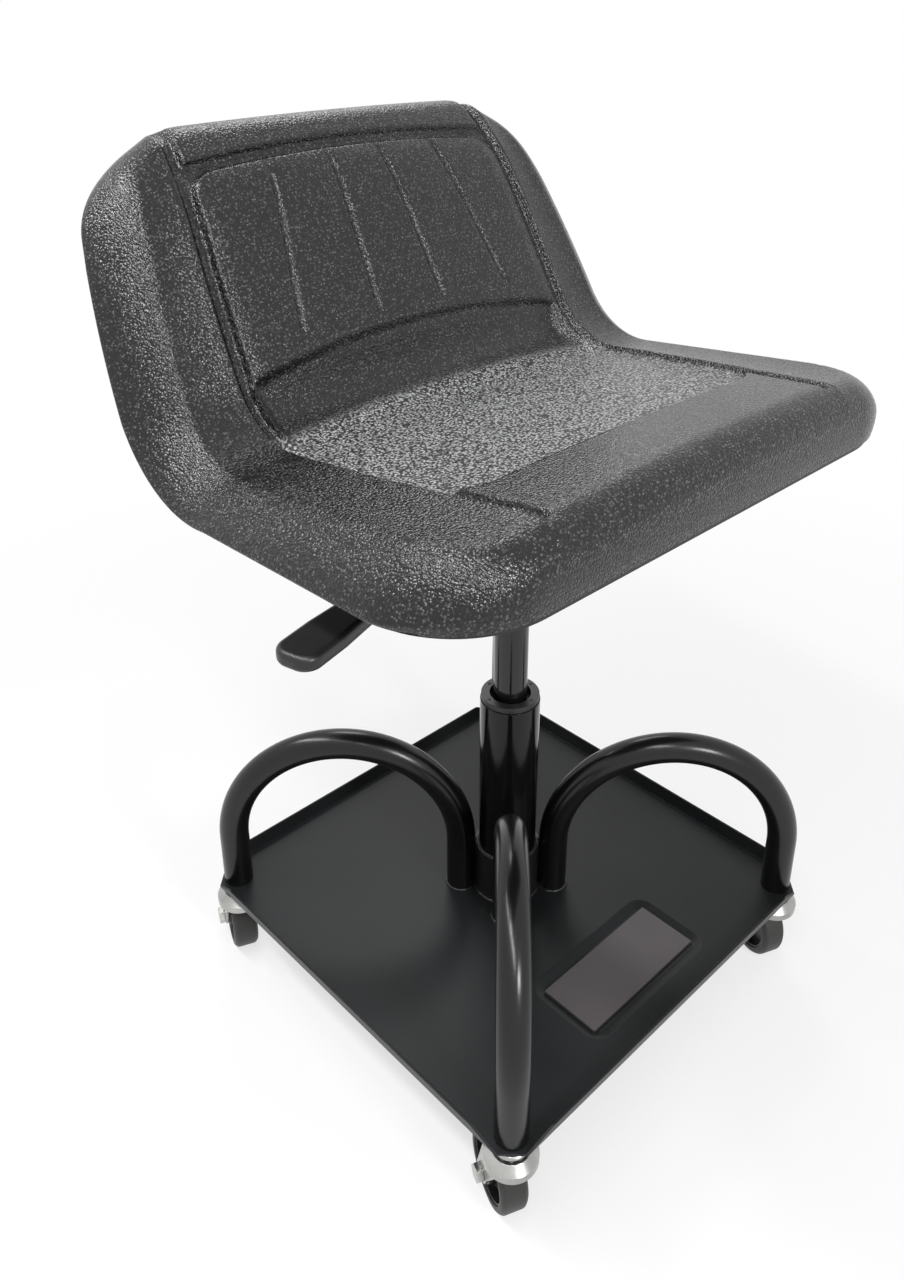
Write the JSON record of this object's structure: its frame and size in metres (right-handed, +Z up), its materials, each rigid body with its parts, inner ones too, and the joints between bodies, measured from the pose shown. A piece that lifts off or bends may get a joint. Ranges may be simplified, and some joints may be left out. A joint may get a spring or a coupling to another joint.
{
  "type": "creeper seat",
  "caption": "Rolling mechanic's creeper seat: tractor-style padded seat on a gas lift, hoop legs on a square tool tray with swivel casters.",
  "frame": {"origin": "on the floor, under the middle of the seat's swivel axis", "axes": "+Z up along the swivel axis, -Y the way the sitter faces, +X to the sitter's left"},
  "size_m": [0.5028, 0.437, 0.7368],
  "materials": {
    "tray": "satin black powder coat",
    "tube": "satin black powder coat",
    "column": "gloss black paint",
    "bushing": "black nylon",
    "lift_steel": "gloss black paint",
    "bright_steel": "ground rod",
    "zinc": "bright zinc plate",
    "caster_hub": "black polypropylene",
    "tyre": "black tread",
    "seat_skin": "black grained vinyl skin",
    "foam": "open polyurethane foam",
    "pan": "black stoved paint",
    "bracket": "black paint",
    "grip": "black moulded plastic",
    "magnet": "grey-brown magnetic rubber sheet"
  },
  "bodies": {
    "base": {"tray": "tray", "magnet_pad": "magnet", "hub_sleeve": "tube", "hoop_front_left": "tube", "hoop_rear_left": "tube", "hoop_rear_right": "tube", "hoop_front_right": "tube", "hoop_plugs": "bright_steel", "outer_column": "column", "guide_bushing": "bushing", "lower_thrust_race": "bright_steel", "thrust_balls": "bright_steel", "caster_stems": "zinc", "caster_cups": "zinc", "caster_balls": "bright_steel"},
    "swivel": {"upper_thrust_race": "bright_steel", "piston_rod": "bright_steel", "rod_clip": "bright_steel", "piston": "bushing"},
    "seat": {"lift_tube": "lift_steel", "rod_guide": "bushing", "seat_cover": "seat_skin", "seat_foam": "foam", "seat_pan": "pan", "lift_bracket": "bracket", "taper_socket": "bracket", "seat_bolts": "zinc", "seat_washers": "zinc", "seat_weld_nuts": "zinc", "lever_bracket": "bracket", "lever_pivot_pin": "bright_steel"},
    "height_lever": {"lever_rod": "bracket", "lever_grip": "grip"},
    "valve_pin": {"release_pin": "bright_steel"},
    "caster_front_left": {"caster_fork_front_left": "zinc", "caster_axle_front_left": "zinc", "caster_sleeve_front_left": "zinc"},
    "wheel_front_left": {"caster_hub_front_left": "caster_hub", "caster_tyre_front_left": "tyre"},
    "caster_rear_left": {"caster_fork_rear_left": "zinc", "caster_axle_rear_left": "zinc", "caster_sleeve_rear_left": "zinc"},
    "wheel_rear_left": {"caster_hub_rear_left": "caster_hub", "caster_tyre_rear_left": "tyre"},
    "caster_rear_right": {"caster_fork_rear_right": "zinc", "caster_axle_rear_right": "zinc", "caster_sleeve_rear_right": "zinc"},
    "wheel_rear_right": {"caster_hub_rear_right": "caster_hub", "caster_tyre_rear_right": "tyre"},
    "caster_front_right": {"caster_fork_front_right": "zinc", "caster_axle_front_right": "zinc", "caster_sleeve_front_right": "zinc"},
    "wheel_front_right": {"caster_hub_front_right": "caster_hub", "caster_tyre_front_right": "tyre"}
  },
  "joints": [
    {"name": "seat_swivel", "type": "hinge", "parent": "base", "child": "swivel", "pos_m": [0, 0, 0.09], "axis": [0, 0, 1], "continuous": true},
    {"name": "seat_lift", "type": "slide", "parent": "swivel", "child": "seat", "axis": [0, 0, 1], "range_m": [-0.11, 0]},
    {"name": "height_lever_tilt", "type": "hinge", "parent": "seat", "child": "height_lever", "pos_m": [-0.03292, -0.00851, 0.4753], "axis": [-0.2504, 0.9681, 0], "range_deg": [0, 7], "stiffness_Nm_per_rad": 6, "springref_deg": -5.73},
    {"name": "valve_pin_press", "type": "slide", "parent": "seat", "child": "valve_pin", "axis": [0, 0, -1], "range_m": [0, 0.0046]},
    {"name": "caster_swivel_front_left", "type": "hinge", "parent": "base", "child": "caster_front_left", "pos_m": [0.17098, -0.17098, 0.079], "axis": [0, 0, 1], "continuous": true},
    {"name": "wheel_spin_front_left", "type": "hinge", "parent": "caster_front_left", "child": "wheel_front_left", "pos_m": [0.1784, -0.15349, 0.0315], "axis": [-0.9205, 0.3907, 0], "continuous": true},
    {"name": "caster_swivel_rear_left", "type": "hinge", "parent": "base", "child": "caster_rear_left", "pos_m": [0.17098, 0.17098, 0.079], "axis": [0, 0, 1], "continuous": true},
    {"name": "wheel_spin_rear_left", "type": "hinge", "parent": "caster_rear_left", "child": "wheel_rear_left", "pos_m": [0.1784, 0.18847, 0.0315], "axis": [-0.9205, 0.3907, 0], "continuous": true},
    {"name": "caster_swivel_rear_right", "type": "hinge", "parent": "base", "child": "caster_rear_right", "pos_m": [-0.17098, 0.17098, 0.079], "axis": [0, 0, 1], "continuous": true},
    {"name": "wheel_spin_rear_right", "type": "hinge", "parent": "caster_rear_right", "child": "wheel_rear_right", "pos_m": [-0.16356, 0.18847, 0.0315], "axis": [-0.9205, 0.3907, 0], "continuous": true},
    {"name": "caster_swivel_front_right", "type": "hinge", "parent": "base", "child": "caster_front_right", "pos_m": [-0.17098, -0.17098, 0.079], "axis": [0, 0, 1], "continuous": true},
    {"name": "wheel_spin_front_right", "type": "hinge", "parent": "caster_front_right", "child": "wheel_front_right", "pos_m": [-0.16356, -0.15349, 0.0315], "axis": [-0.9205, 0.3907, 0], "continuous": true}
  ],
  "couplings": [
    {"joint": "valve_pin_press", "follows": "height_lever_tilt", "m_per_rad": 0.037}
  ]
}
